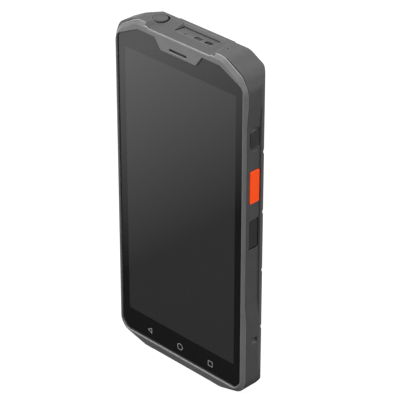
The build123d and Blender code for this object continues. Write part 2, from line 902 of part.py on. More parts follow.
    # loudspeaker slots and charging pads
    with BuildSketch(at_depth(wall_face)):
        with Locations((speaker_x, speaker_bottom + speaker_height / 2)):
            with GridLocations(0, speaker_slot_pitch, 1, speaker_slots):
                SlotOverall(speaker_slot_length, speaker_slot_width)
        with Locations((0, pad_z)):
            with GridLocations(pad_pitch, 0, pad_count, 1):
                Circle(pad_radius + pad_gap)
    extrude(amount=wall_face - back_face, mode=Mode.SUBTRACT)

    # top end: scanner pocket with its eyes, jack plug, microphone
    with BuildSketch(at_height(pocket_floor)):
        with Locations((engine_x, (pocket_y0 + pocket_y1) / 2)):
            Rectangle(pocket_right - pocket_left, pocket_y1 - pocket_y0)
    extrude(amount=body_height - pocket_floor, mode=Mode.SUBTRACT)
    with BuildSketch(at_height(body_height)):
        with Locations((engine_x, (pocket_y0 + pocket_y1 + pocket_bevel) / 2)):
            Rectangle(pocket_right - pocket_left + 2 * pocket_bevel,
                      pocket_y1 - pocket_y0 + pocket_bevel)
    extrude(amount=-pocket_bevel, taper=45, mode=Mode.SUBTRACT)
    with BuildSketch(at_height(engine_top)):
        with Locations(*eye_places):
            RectangleRounded(eye_width, eye_depth, eye_depth / 4)
        with Locations(spot_place):
            Circle(spot_radius)
    extrude(amount=pocket_floor - engine_top, mode=Mode.SUBTRACT)
    with BuildSketch(at_height(plug_top - plug_cap_height - housing_gap)):
        with Locations((jack_x, cap_y)):
            Circle(plug_cap_radius + plug_cap_gap)
            with PolarLocations(plug_pry_shift, 1, plug_pry_angle):
                Circle(plug_cap_radius + plug_cap_gap)
    extrude(amount=body_height - plug_top + plug_cap_height + housing_gap, mode=Mode.SUBTRACT)
    with BuildSketch(at_height(ceiling)):
        with Locations((jack_x, plug_y)):
            Circle(jack_radius + plug_stem_gap)
        with Locations((mic_x, mic_y0)):
            Circle(mic_hole_radius)
    extrude(amount=side_wall, mode=Mode.SUBTRACT)

    # bottom end: charging port and microphone
    with BuildSketch(Plane.XY):
        with Locations((0, usb_y)):
            RectangleRounded(usb_width + 2 * usb_port_gap, usb_height + 2 * usb_port_gap,
                             usb_height / 2)
        with Locations((low_mic_x, mic_y0)):
            Circle(mic_hole_radius)
    extrude(amount=floor, mode=Mode.SUBTRACT)

    # key openings in the side walls
    add(waist.part, mode=Mode.SUBTRACT)
    with BuildSketch(Plane.YZ.offset(inner_half)):
        with Locations((key_y, scan_key_z)):
            RectangleRounded(key_width + 2 * key_gap, scan_key_length + 2 * key_gap, key_corner)
        with Locations((key_y, low_key_z)):
            RectangleRounded(key_width + 2 * key_gap, low_key_length + 2 * key_gap, key_corner)
        with Locations((key_y, power_z)):
            RectangleRounded(power_width + 2 * key_gap, power_length + 2 * key_gap, power_corner)
    extrude(amount=side_wall, mode=Mode.SUBTRACT)
    with BuildSketch(Plane.YZ.offset(waist_face - power_cup_depth)):
        with Locations((key_y, power_z)):
            RectangleRounded(power_cup_width, power_cup_length, power_cup_width / 2 - key_gap)
    extrude(amount=power_cup_depth + waist_depth, mode=Mode.SUBTRACT)
    with BuildSketch(Plane.YZ.offset(-inner_half)):
        with Locations((key_y, scan_key_z)):
            RectangleRounded(key_width + 2 * key_gap, scan_key_length + 2 * key_gap, key_corner)
        with Locations((key_y, low_key_z)):
            RectangleRounded(key_width + 2 * key_gap, low_key_length + 2 * key_gap, key_corner)
    extrude(amount=-side_wall, mode=Mode.SUBTRACT)

    # latch notches, grip beds, dip and arch
    with BuildSketch(at_depth(latch_y0)):
        with BuildLine():
            Polyline(
                (half_width, latch_z - latch_height / 2),
                (half_width - latch_depth, latch_z - latch_height / 2 + latch_depth),
                (half_width - latch_depth, latch_z + latch_height / 2),
                (half_width, latch_z + latch_height / 2),
                close=True,
            )
        make_face()
        mirror(about=Plane.YZ)
    extrude(amount=-latch_width, mode=Mode.SUBTRACT)
    add(grip_beds.part, mode=Mode.SUBTRACT)
    add(crown_dip.part, mode=Mode.SUBTRACT)
    add(arch.part, mode=Mode.SUBTRACT)
save(main_housing, "main_housing")

# ------------------------------------------------------------ rubber grips
with BuildPart() as grip_grooves:
    with BuildSketch(Plane.YZ):
        for turn in range(groove_count):
            z = groove_first + turn * groove_pitch
            with BuildLine():
                Polyline(
                    (waist_back, z + groove_slope),
                    (back_face, z),
                    (back_face, z + groove_width),
                    (waist_back, z + groove_width + groove_slope),
                    close=True,
                )
            make_face()
    extrude(amount=half_width, both=True)
    add(groove_core, mode=Mode.SUBTRACT)

for side, name in ((-1, "left_grip"), (1, "right_grip")):
    with BuildPart() as grip:
        add(grip_beds.part)
        add(grip_grooves.part, mode=Mode.SUBTRACT)
        split(bisect_by=Plane.YZ, keep=Keep.TOP if side > 0 else Keep.BOTTOM)
    save(grip, name)

# --------------------------------------------------------------- side keys
def side_key(z, width, length, corner, face):
    """Key on the right side: face, flange behind the wall, nib on the switch."""
    with BuildPart() as key:
        with BuildSketch(Plane.YZ.offset(flange_face)):
            with Locations((key_y, z)):
                RectangleRounded(width, length, corner - key_gap)
        extrude(amount=face - flange_face)
        chamfer(key.faces().sort_by(Axis.X)[-1].edges(), key_bevel)
        with BuildSketch(Plane.YZ.offset(flange_face)):
            with Locations((key_y, z)):
                Rectangle(width, length + 2 * key_flange)
        extrude(amount=-key_flange_thickness)
        with BuildSketch(Plane.YZ.offset(nib_tip)):
            with Locations((key_y, z)):
                Circle(key_nib_radius)
        extrude(amount=key_nib)
    return key


scan_face = waist_face + scan_key_proud
right_scan_key = side_key(scan_key_z, key_width, scan_key_length, key_corner, scan_face)
save(right_scan_key, "right_scan_key")
low_face = waist_face - low_key_sink
save(side_key(low_key_z, key_width, low_key_length, key_corner, low_face), "low_key")
power_face = waist_face - power_sink
save(side_key(power_z, power_width, power_length, power_corner, power_face), "power_button")

with BuildPart() as left_scan_key:
    add(mirror(right_scan_key.part, about=Plane.YZ, mode=Mode.PRIVATE))
save(left_scan_key, "left_scan_key")

# Rocker: it tilts on the wall behind its middle flange
with BuildPart() as volume_rocker:
    with BuildSketch(Plane.YZ.offset(-flange_face)):
        with Locations((key_y, low_key_z)):
            RectangleRounded(key_width, low_key_length, key_corner - key_gap)
    extrude(amount=flange_face - waist_face - rocker_proud)
    chamfer(volume_rocker.faces().sort_by(Axis.X)[0].edges(), key_bevel)
    with BuildSketch(Plane.YZ.offset(-flange_face)):
        with Locations((key_y + (rocker_flange_back - rocker_flange_front) / 2, low_key_z)):
            Rectangle(key_width + rocker_flange_front + rocker_flange_back, rocker_flange_length)
        with Locations((key_y, low_key_z)):
            Rectangle(key_width, low_key_length - 2 * key_flange)
    extrude(amount=key_flange_thickness)
    with BuildSketch(Plane.YZ.offset(key_flange_thickness - flange_face)):
        with Locations((key_y, low_key_z)):
            with GridLocations(0, 2 * rocker_lobe, 1, 2):
                Circle(key_nib_radius)
    extrude(amount=rocker_nib)
save(volume_rocker, "volume_rocker")

# Bracket, flex circuit and switches behind the keys; the left side mirrors
# all but the switch places
with BuildPart() as right_key_bracket:
    with BuildSketch(at_height(bracket_bottom)):
        with Locations((bracket_face, chassis_back)):
            Rectangle(bracket_thickness, bracket_back - chassis_back, align=(Align.MAX, Align.MIN))
            Rectangle(bracket_thickness + bracket_foot, bracket_foot_thickness,
                      align=(Align.MAX, Align.MIN))
    extrude(amount=bracket_top - bracket_bottom)
save(right_key_bracket, "right_key_bracket")

tail_z = bracket_top + flex_tail_lift
with BuildPart() as right_key_flex:
    with BuildSketch(Plane.YZ.offset(bracket_face)):
        with Locations((chassis_back, bracket_bottom)):
            Rectangle(flex_back - chassis_back, tail_z + flex_tail_width - bracket_bottom,
                      align=(Align.MIN, Align.MIN))
    extrude(amount=flex_thickness)
    with BuildSketch(at_height(tail_z)):
        with Locations((flex_tail_reach, board_back)):
            Rectangle(flex_face - flex_tail_reach, flex_thickness, align=(Align.MIN, Align.MIN))
    extrude(amount=flex_tail_width)
save(right_key_flex, "right_key_flex")

with BuildPart() as right_switches:
    with BuildSketch(Plane.YZ.offset(flex_face)):
        with Locations((key_y, scan_key_z), (key_y, low_key_z), (key_y, power_z)):
            Rectangle(switch_size, switch_size)
    extrude(amount=switch_height)
    with BuildSketch(Plane.YZ.offset(switch_face)):
        with Locations((key_y, scan_key_z), (key_y, low_key_z), (key_y, power_z)):
            Circle(plunger_radius)
    extrude(amount=plunger_height)
save(right_switches, "right_switches")

with BuildPart() as left_key_bracket:
    add(mirror(right_key_bracket.part, about=Plane.YZ, mode=Mode.PRIVATE))
save(left_key_bracket, "left_key_bracket")

with BuildPart() as left_key_flex:
    add(mirror(right_key_flex.part, about=Plane.YZ, mode=Mode.PRIVATE))
save(left_key_flex, "left_key_flex")

left_switch_heights = (scan_key_z, low_key_z - rocker_lobe, low_key_z + rocker_lobe)
with BuildPart() as left_switches:
    with BuildSketch(Plane.YZ.offset(-flex_face)):
        with Locations(*[(key_y, z) for z in left_switch_heights]):
            Rectangle(switch_size, switch_size)
    extrude(amount=-switch_height)
    with BuildSketch(Plane.YZ.offset(-switch_face)):
        with Locations(*[(key_y, z) for z in left_switch_heights]):
            Circle(plunger_radius)
    extrude(amount=-plunger_height)
save(left_switches, "left_switches")

# --------------------------------------------------------- top end: scanner
insert_left = pocket_left + insert_left_gap
insert_right = pocket_right - insert_gap
insert_y0 = pocket_y0 + insert_gap
insert_y1 = pocket_y1 - insert_back_gap
insert_front_top = body_height - insert_front_drop
insert_back_top = body_height - insert_back_drop
insert_fall = (insert_front_top - insert_back_top) / (insert_y1 - insert_y0)
eye_top = insert_front_top - insert_fall * (eye_y0 + eye_depth / 2 - insert_y0) - eye_window_sink
eye_seat = eye_top - eye_window_thickness

with BuildPart() as scan_bezel:
    with BuildSketch(Plane.YZ.offset(insert_left)):
        with BuildLine():
            Polyline(
                (insert_y0, pocket_floor),
                (insert_y0, insert_front_top),
                (insert_y1, insert_back_top),
                (insert_y1, pocket_floor),
                close=True,
            )
        make_face()
    extrude(amount=insert_right - insert_left)
    with BuildSketch(at_height(pocket_floor)):
        with Locations(*eye_places):
            RectangleRounded(eye_width - 2 * eye_ledge, eye_depth - 2 * eye_ledge, eye_ledge)
        with Locations(spot_place):
            Circle(spot_radius - eye_ledge)
    extrude(amount=eye_seat - pocket_floor, mode=Mode.SUBTRACT)
    with BuildSketch(at_height(eye_seat)):
        with Locations(*eye_places):
            RectangleRounded(eye_width, eye_depth, 2 * eye_ledge)
        with Locations(spot_place):
            Circle(spot_radius)
    extrude(amount=body_height - eye_seat, mode=Mode.SUBTRACT)
save(scan_bezel, "scan_bezel")

with BuildPart() as scan_windows:
    with BuildSketch(at_height(eye_seat)):
        with Locations(*eye_places):
            RectangleRounded(eye_width - 2 * eye_gap, eye_depth - 2 * eye_gap,
                             2 * eye_ledge - eye_gap)
    extrude(amount=eye_window_thickness)
save(scan_windows, "scan_windows")

with BuildPart() as aimer_lens:
    with BuildSketch(at_height(eye_seat)):
        with Locations(spot_place):
            Circle(spot_radius - eye_gap)
    extrude(amount=eye_window_thickness)
save(aimer_lens, "aimer_lens")

with BuildPart() as scan_engine:
    with BuildSketch(at_height(engine_top)):
        with Locations((engine_x, engine_back - engine_depth / 2)):
            Rectangle(engine_width, engine_depth)
    extrude(amount=-engine_length)
    with BuildSketch(at_height(engine_top)):
        with Locations(*eye_places):
            Circle(engine_lens_radius)
        with Locations(spot_place):
            Circle(spot_radius)
    extrude(amount=-engine_lens_depth, mode=Mode.SUBTRACT)
save(scan_engine, "scan_engine")

# --------------------------------------------- top end: jack and microphones
with BuildPart() as jack_plug:
    with BuildSketch(at_height(plug_top)):
        with Locations((jack_x, cap_y)):
            Circle(plug_cap_radius)
    extrude(amount=-plug_cap_height)
    with BuildSketch(at_height(plug_top - plug_cap_height)):
        with Locations((jack_x, plug_y)):
            Circle(jack_radius - plug_stem_gap)
    extrude(amount=-plug_stem_length)
save(jack_plug, "jack_plug")

with BuildPart() as audio_jack:
    with BuildSketch(at_height(ceiling)):
        with Locations((jack_x, plug_y)):
            Rectangle(jack_width, jack_depth)
            Circle(jack_radius, mode=Mode.SUBTRACT)
    extrude(amount=-jack_length)
save(audio_jack, "audio_jack")

with BuildPart() as microphones:
    with BuildSketch(at_height(ceiling - mic_height)):
        with Locations((mic_x, mic_y0)):
            Rectangle(mic_width, mic_depth)
    extrude(amount=mic_height)
    with BuildSketch(at_height(floor)):
        with Locations((low_mic_x, mic_y0)):
            Rectangle(mic_width, mic_depth)
    extrude(amount=mic_height)
save(microphones, "microphones")

# ------------------------------------------------------------------- boards
board_corner_z = main_board_top - board_corner_drop
with BuildPart() as main_board:
    with BuildSketch(at_depth(board_back)):
        with BuildLine():
            Polyline(
                (-main_board_half, main_board_bottom),
                (main_board_half, main_board_bottom),
                (main_board_half, board_corner_z),
                (board_corner_half, board_corner_z),
                (board_corner_half, main_board_top),
                (-board_corner_half, main_board_top),
                (-board_corner_half, board_corner_z),
                (-main_board_half, board_corner_z),
                close=True,
            )
        make_face()
        with Locations((engine_x, engine_top - engine_length - board_cut_gap)):
            Rectangle(engine_width + 2 * board_cut_gap, 2 * engine_length,
                      align=(Align.CENTER, Align.MIN), mode=Mode.SUBTRACT)
        with Locations(*main_posts):
            Circle(board_screw_radius + board_hole_gap, mode=Mode.SUBTRACT)
    extrude(amount=board_thickness)
save(main_board, "main_board")

with BuildPart() as sub_board:
    with BuildSketch(at_depth(board_back)):
        with Locations((0, (sub_board_bottom + sub_board_top) / 2)):
            Rectangle(2 * sub_board_half, sub_board_top - sub_board_bottom)
        with Locations(*sub_posts):
            Circle(board_screw_radius + board_hole_gap, mode=Mode.SUBTRACT)
    extrude(amount=board_thickness)
save(sub_board, "sub_board")

with BuildPart() as board_flex:
    with BuildSketch(at_depth(board_front)):
        with Locations((0, (sub_board_top + main_board_bottom) / 2)):
            Rectangle(link_flex_width, main_board_bottom - sub_board_top + 2 * link_flex_lap)
    extrude(amount=flex_thickness)
save(board_flex, "board_flex")

with BuildPart() as shield_cans:
    with BuildSketch(at_depth(board_front)):
        with Locations((0, can_bottom + can_height / 2)):
            with GridLocations(2 * can_middle, 0, 2, 1):
                RectangleRounded(can_width, can_height, can_corner)
    extrude(amount=shield_height - can_gap)
save(shield_cans, "shield_cans")

with BuildPart() as board_screws:
    with BuildSketch(at_depth(board_back)):
        with Locations(*main_posts, *sub_posts):
            Circle(board_screw_head)
    extrude(amount=-board_screw_head_height)
    with BuildSketch(at_depth(board_back)):
        with Locations(*main_posts, *sub_posts):
            Circle(board_screw_radius)
    extrude(amount=board_thickness + board_screw_bite)
save(board_screws, "board_screws")

with BuildPart() as housing_screws:
    with BuildSketch(at_depth(head_seat)):
        with Locations(*screw_places):
            Circle(screw_head_radius)
    extrude(amount=-screw_head_height)
    with BuildSketch(at_depth(head_seat + screw_head_height)):
        with Locations(*screw_places):
            Rectangle(cross_length, cross_width)
            Rectangle(cross_width, cross_length)
    extrude(amount=cross_depth, mode=Mode.SUBTRACT)
    with BuildSketch(at_depth(head_seat)):
        with Locations(*screw_places):
            Circle(screw_radius)
    extrude(amount=head_seat - module_back + screw_bite - screw_tip_gap)
save(housing_screws, "housing_screws")

# ------------------------------------------------ sockets, sound, vibration
with BuildPart() as usb_c_socket:
    with BuildSketch(at_height(usb_mouth)):
        with Locations((0, usb_y)):
            RectangleRounded(usb_width, usb_height, usb_height / 2 - usb_wall)
            RectangleRounded(usb_width - 2 * usb_wall, usb_height - 2 * usb_wall,
                             usb_height / 2 - 2 * usb_wall, mode=Mode.SUBTRACT)
    extrude(amount=usb_length)
    with BuildSketch(at_height(usb_mouth + usb_length - usb_shell_back)):
        with Locations((0, usb_y)):
            RectangleRounded(usb_width - usb_wall, usb_height - usb_wall,
                             usb_height / 2 - 2 * usb_wall)
    extrude(amount=usb_shell_back)
    with BuildSketch(at_height(usb_mouth + usb_tongue_sink)):
        with Locations((0, usb_y)):
            Rectangle(usb_tongue_width, usb_tongue_thickness)
    extrude(amount=usb_length - usb_tongue_sink)
save(usb_c_socket, "usb_c_socket")

with BuildPart() as vibration_motor:
    with BuildSketch(at_depth(board_back)):
        with Locations((motor_x, motor_z)):
            Circle(motor_radius)
    extrude(amount=-motor_height)
save(vibration_motor, "vibration_motor")

with BuildPart() as loudspeaker:
    with BuildSketch(at_depth(wall_face)):
        with Locations((speaker_x, speaker_bottom + speaker_height / 2)):
            RectangleRounded(speaker_width, speaker_height, speaker_slot_width)
    extrude(amount=speaker_depth)
save(loudspeaker, "loudspeaker")

with BuildPart() as charging_contacts:
    with BuildSketch(at_depth(wall_face - pad_head)):
        with Locations((0, pad_z)):
            with GridLocations(pad_pitch, 0, pad_count, 1):
                Circle(pad_radius)
    extrude(amount=-(pad_head + back_wall - pad_sink))
    with BuildSketch(at_depth(wall_face - pad_head)):
        with Locations((0, pad_z)):
            with GridLocations(pad_pitch, 0, pad_count, 1):
                Circle(pad_pin_radius)
    extrude(amount=wall_face - pad_head - board_back)
save(charging_contacts, "charging_contacts")

# ------------------------------------------------------------------- camera
with BuildPart() as camera_module:
    with BuildSketch(at_depth(board_back)):
        with Locations((0, camera_z)):
            Rectangle(camera_size, camera_size)
    extrude(amount=board_back - wall_face + housing_gap)
    with BuildSketch(at_depth(wall_face - housing_gap)):
        with Locations((0, camera_z)):
            Circle(lens_radius)
    extrude(amount=wall_face - housing_gap - window_seat + barrel_gap)
save(camera_module, "camera_module")

with BuildPart() as camera_window:
    with BuildSketch(at_depth(window_seat)):
        with Locations((0, camera_z)):
            Circle(camera_window_radius)
    extrude(amount=-camera_window_thickness)
save(camera_window, "camera_window")

with BuildPart() as flash_lens:
    with BuildSketch(at_depth(window_face)):
        with Locations((flash_x, camera_z)):
            Circle(flash_radius)
    extrude(amount=flash_length)
save(flash_lens, "flash_lens")

# ------------------------------------------------------------------ battery
with BuildPart() as battery_pack:
    with BuildSketch(at_depth(bay_floor)):
        with Locations((0, battery_z)):
            RectangleRounded(battery_width, battery_height, battery_radius)
    extrude(amount=-battery_thickness)
save(battery_pack, "battery_pack")

contact_z = battery_z + bay_height / 2 + bay_wall + contact_gap
with BuildPart() as battery_connector:
    with BuildSketch(at_depth(board_back)):
        with Locations((0, contact_z + contact_block_height / 2)):
            Rectangle(contact_block_width - 2 * contact_gap, contact_block_height)
    extrude(amount=-contact_sink - contact_block_depth)
    with BuildSketch(at_depth(board_back + contact_blade_y)):
        with Locations((0, (battery_top + contact_z) / 2)):
            with GridLocations(contact_blade_pitch, 0, 4, 1):
                Rectangle(contact_blade_width, contact_z - battery_top)
    extrude(amount=-contact_blade_depth)
save(battery_connector, "battery_connector")

with BuildPart() as battery_seal:
    with BuildSketch(at_depth(land_face - seal_groove)):
        with Locations((0, battery_z)):
            RectangleRounded(seal_ring_width + seal_width, seal_ring_height + seal_width,
                             seal_radius + seal_width - seal_gap)
            RectangleRounded(seal_ring_width - seal_width, seal_ring_height - seal_width,
                             seal_radius + seal_gap, mode=Mode.SUBTRACT)
    extrude(amount=land_face - seal_groove - door_face + seal_squeeze_gap)
save(battery_seal, "battery_seal")

# Door: two hooks under its lower edge reach behind the back wall
leg_z = door_bottom + hook_inset
toe_back = wall_face - hook_gap
with BuildPart() as battery_door:
    with BuildSketch(at_depth(door_face)):
        with Locations((0, battery_z)):
            RectangleRounded(door_width, door_height, door_radius)
    extrude(amount=-door_thickness)
    chamfer(battery_door.faces().sort_by(Axis.Y)[-1].edges(), door_edge_bevel)
    with BuildSketch(at_depth(door_face)):
        with Locations(*[(side * hook_x, leg_z + hook_leg / 2) for side in (-1, 1)]):
            Rectangle(hook_width, hook_leg)
    extrude(amount=door_face - toe_back + hook_thickness)
    with BuildSketch(at_depth(toe_back)):
        with Locations(*[(side * hook_x, (toe_z + leg_z + hook_leg) / 2) for side in (-1, 1)]):
            Rectangle(hook_width, leg_z + hook_leg - toe_z)
    extrude(amount=hook_thickness)
save(battery_door, "battery_door")
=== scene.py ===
import math

import bmesh
import bpy
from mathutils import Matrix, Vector


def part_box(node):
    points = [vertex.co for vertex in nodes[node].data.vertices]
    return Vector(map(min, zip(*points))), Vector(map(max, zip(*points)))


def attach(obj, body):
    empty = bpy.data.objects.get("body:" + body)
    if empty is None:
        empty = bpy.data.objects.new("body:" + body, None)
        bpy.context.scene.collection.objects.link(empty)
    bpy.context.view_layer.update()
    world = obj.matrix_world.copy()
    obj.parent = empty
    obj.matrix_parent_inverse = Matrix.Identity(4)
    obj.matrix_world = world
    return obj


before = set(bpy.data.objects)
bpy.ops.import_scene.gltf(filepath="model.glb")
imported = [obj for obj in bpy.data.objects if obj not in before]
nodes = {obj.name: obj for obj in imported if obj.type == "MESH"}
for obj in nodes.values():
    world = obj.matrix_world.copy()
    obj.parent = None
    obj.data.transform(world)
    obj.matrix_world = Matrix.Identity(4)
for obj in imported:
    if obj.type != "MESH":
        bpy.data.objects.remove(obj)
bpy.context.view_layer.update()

# Hand-held data terminal: materials for its CAD nodes, three printed signs on
# its glass, a pale floor that shows mirrors a painted reflection and soft studio
# light. Lengths are in metres.

MM = 0.001

# Boxes of the nodes that the materials and signs are placed by
GLASS_LOW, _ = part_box("touch_glass")
DISPLAY_LOW, DISPLAY_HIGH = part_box("display_module")
WINDOWS_LOW, WINDOWS_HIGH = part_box("scan_windows")

# ------------------------------------------------------------------- camera
CAMERA_PLACE = (0.5569, -0.5517, 0.5318)
CAMERA_TURN = (60.0, 0.0, 45.0)   # degrees
SENSOR_WIDTH = 36.0               # millimetres, as the focal length
FOCAL_LENGTH = 198.29
CLIP_START = 0.01


def photo_camera():
    """Long lens, 45 degrees to the right and 30 degrees above the object."""
    lens = bpy.data.cameras.new("camera")
    lens.sensor_width = SENSOR_WIDTH
    lens.lens = FOCAL_LENGTH
    lens.clip_start = CLIP_START
    camera = bpy.data.objects.new("camera", lens)
    camera.location = CAMERA_PLACE
    camera.rotation_euler = [math.radians(turn) for turn in CAMERA_TURN]
    bpy.context.scene.collection.objects.link(camera)
    bpy.context.scene.camera = camera
    bpy.context.scene.view_settings.view_transform = "Standard"


photo_camera()

# ------------------------------------------------------------- node helpers
EDGE_SAMPLES = 4
CORNER_SAMPLES = 8
# Painted highlight: edges that face up are drawn in a lighter colour
HIGHLIGHT_REACH = 0.45 * MM      # of the painted highlight strip along an edge
HIGHLIGHT_STARTS = 0.985         # cosine between the true and the rounded normal
HIGHLIGHT_IS_FULL = 0.9
LIFT_STARTS = 0.4           # how far an edge faces up
LIFT_IS_FULL = 0.8
SIDE_HIGHLIGHT = 0.1             # painted highlight left on edges that don't face up
HIGHLIGHT_PATCH = 1.5 * MM       # the painted highlight is broken up into patches
HIGHLIGHT_RANGE = (0.25, 0.6)
THIN_HIGHLIGHT = 0.6
CORNER_SHUT = 0.25          # ambient occlusion deep in a seam
FACE_OPEN = 0.85            # and on an open face
CLOUDY = (0.3, 0.7)         # the range that most values of a noise lie in
PATCHY = (0.35, 0.75)       # the same, with less of the low end


class Shader:
    """A material's node tree, with short calls to add and join nodes."""

    def __init__(self, name):
        self.material = bpy.data.materials.new(name)
        self.material.use_nodes = True
        self.tree = self.material.node_tree
        self.surface = self.tree.nodes["Principled BSDF"]
        self.output = self.tree.nodes["Material Output"]
        coordinates = self.add("ShaderNodeTexCoord")
        self.place = coordinates.outputs["Object"]

    def add(self, kind, **values):
        node = self.tree.nodes.new(kind)
        for name, value in values.items():
            setattr(node, name, value)
        return node

    def join(self, source, target):
        self.tree.links.new(source, target)

    def vary(self, name, source):
        """Lets a socket set one of the surface's inputs."""
        self.join(source, self.surface.inputs[name])

    def hold(self, name, value):
        """Sets one of the surface's inputs to the same value all over."""
        self.surface.inputs[name].default_value = value

    def noise(self, size, detail=2.0, roughness=0.5, stretch=None):
        """Noise whose grains measure about size metres."""
        texture = self.add("ShaderNodeTexNoise")
        texture.inputs["Scale"].default_value = 1.0 / size
        texture.inputs["Detail"].default_value = detail
        texture.inputs["Roughness"].default_value = roughness
        source = self.place
        if stretch:
            mapping = self.add("ShaderNodeMapping")
            mapping.inputs["Scale"].default_value = stretch
            self.join(self.place, mapping.inputs["Vector"])
            source = mapping.outputs["Vector"]
        self.join(source, texture.inputs["Vector"])
        return texture.outputs["Fac"]

    def spots(self, size, randomness):
        """Distance to the nearest of many points, size metres apart."""
        texture = self.add("ShaderNodeTexVoronoi")
        texture.inputs["Scale"].default_value = 1.0 / size
        texture.inputs["Randomness"].default_value = randomness
        self.join(self.place, texture.inputs["Vector"])
        return texture.outputs["Distance"]

    def spread(self, value, low, high, to_low, to_high, smooth=False):
        """Maps value from low..high to to_low..to_high, and clamps it."""
        node = self.add("ShaderNodeMapRange")
        if smooth:
            node.interpolation_type = "SMOOTHSTEP"
        ends = {"From Min": low, "From Max": high, "To Min": to_low, "To Max": to_high}
        for key, number in ends.items():
            node.inputs[key].default_value = number
        self.join(value, node.inputs["Value"])
        return node.outputs["Result"]

    def maths(self, operation, *values):
        """One operation on one or two values; each is a number or a socket."""
        node = self.add("ShaderNodeMath", operation=operation)
        for slot, value in zip(node.inputs, values):
            if isinstance(value, (int, float)):
                slot.default_value = value
            else:
                self.join(value, slot)
        return node.outputs["Value"]

    def axes(self, vector=None):
        """The three parts of a vector, or of the place on the object."""
        split = self.add("ShaderNodeSeparateXYZ")
        self.join(vector or self.place, split.inputs["Vector"])
        return split.outputs

    def mix(self, factor, low, high):
        """Colour between low and high; each is a colour or a socket."""
        node = self.add("ShaderNodeMix", data_type="RGBA")
        self.join(factor, node.inputs["Factor"])
        for slot, value in ((node.inputs[6], low), (node.inputs[7], high)):
            if isinstance(value, tuple):
                slot.default_value = (*value, 1.0)
            else:
                self.join(value, slot)
        return node.outputs[2]

    def bump(self, height, depth, normal=None):
        """Bump of depth metres where height goes from 0 to 1."""
        node = self.add("ShaderNodeBump")
        node.inputs["Strength"].default_value = 1.0
        node.inputs["Distance"].default_value = depth
        self.join(height, node.inputs["Height"])
        if normal:
            self.join(normal, node.inputs["Normal"])
        return node.outputs["Normal"]

    def soft_edges(self, radius):
        """Normal that rounds sharp edges by radius metres."""
        node = self.add("ShaderNodeBevel", samples=EDGE_SAMPLES)
        node.inputs["Radius"].default_value = radius
        return node.outputs["Normal"]

    def painted_highlight_on_edges(self):
        """Painted highlight mask: 1 on sharp edges that face up, fading out beside them, in
        patches.
        """
        true_normal = self.add("ShaderNodeNewGeometry").outputs["Normal"]
        rounded = self.soft_edges(HIGHLIGHT_REACH)
        turn = self.add("ShaderNodeVectorMath", operation="DOT_PRODUCT")
        self.join(true_normal, turn.inputs[0])
        self.join(rounded, turn.inputs[1])
        edge = self.spread(turn.outputs["Value"], HIGHLIGHT_STARTS, HIGHLIGHT_IS_FULL, 0, 1)
        lift = self.axes(rounded)["Z"]
        upward = self.spread(lift, LIFT_STARTS, LIFT_IS_FULL, SIDE_HIGHLIGHT, 1)
        patches = self.spread(self.noise(HIGHLIGHT_PATCH, detail=3), *HIGHLIGHT_RANGE, THIN_HIGHLIGHT, 1)
        return self.maths("MULTIPLY", self.maths("MULTIPLY", edge, upward), patches)

    def openness(self, reach, low):
        """From low in seams and inner corners to 1 on open faces."""
        node = self.add("ShaderNodeAmbientOcclusion", samples=CORNER_SAMPLES)
        node.inputs["Distance"].default_value = reach
        return self.spread(node.outputs["AO"], CORNER_SHUT, FACE_OPEN, low, 1)

    def painted_seam_shade(self, colour, reach, depth):
        """Colour with painted shade: darkened by depth in seams and corners within reach metres.
        """
        tone = self.add("ShaderNodeMix", data_type="RGBA", blend_type="MULTIPLY")
        tone.inputs["Factor"].default_value = 1.0
        self.join(colour, tone.inputs[6])
        self.join(self.openness(reach, 1 - depth), tone.inputs[7])
        return tone.outputs[2]


def shade(colour, factor):
    """Colour made lighter or darker by a factor."""
    return tuple(min(1.0, channel * factor) for channel in colour)


def middle(low, high, axis):
    """Middle of a box along one axis."""
    return (low[axis] + high[axis]) / 2


# ------------------------------------------------------- kinds of material
CLOUD_SIZE = 9 * MM           # slow change of tone over a moulding
POLISH_SIZE = 3 * MM          # and of its gloss
POLISH_DOWN = 0.05
POLISH_UP = 0.06


def moulded(name, colour, roughness, grain=0.18 * MM, depth=0.012 * MM, edge=0.15 * MM,
            mottle=0.05, edge_highlight=1.0, seam=0.9 * MM, shade_depth=0.75, gloss=0.6):
    """Moulded plastic: fine grain, slight mottle, softened edges, a painted highlight on edges
    and painted shade in seams.

    The grain has a size and a depth, edge is the radius that softens corners,
    and mottle the share by which the tone varies. Edges that face up get a
    painted highlight that makes them up to the given factor times lighter.
    Seams and corners get painted shade, darker by its given depth, as far as
    its given reach in metres out of them.
    """
    s = Shader(name)
    tone = s.spread(s.noise(CLOUD_SIZE, detail=3), *CLOUDY, 0, 1)
    body = s.mix(tone, shade(colour, 1 - mottle), shade(colour, 1 + mottle))
    # painted highlight on the edges that face up
    if edge_highlight > 1:
        body = s.mix(s.painted_highlight_on_edges(), body, shade(colour, edge_highlight))
    # painted shade in seams and corners
    s.vary("Base Color", s.painted_seam_shade(body, seam, shade_depth))
    patches = s.noise(POLISH_SIZE, detail=4)
    polish = s.spread(patches, *CLOUDY, roughness - POLISH_DOWN, roughness + POLISH_UP)
    s.vary("Roughness", polish)
    s.hold("Specular IOR Level", gloss)
    fine = s.noise(grain, detail=2, roughness=0.6)
    s.vary("Normal", s.bump(fine, depth, s.soft_edges(edge)))
    return s.material


DUST_SIZE = 6 * MM
DUST_LIGHTER = 1.35
RUBBER_ROUGHNESS = 0.7
RUBBER_SHEEN = 0.08
RUBBER_SHEEN_ROUGHNESS = 0.5
RUBBER_EDGE = 0.15 * MM
# depth of the painted shade in the rubber's seams
RUBBER_SHADE_DEPTH = 0.8
STIPPLE_ORDER = 0.6           # 0 is a grid, 1 is random
STIPPLE_RADIUS = 0.5          # share of the spacing


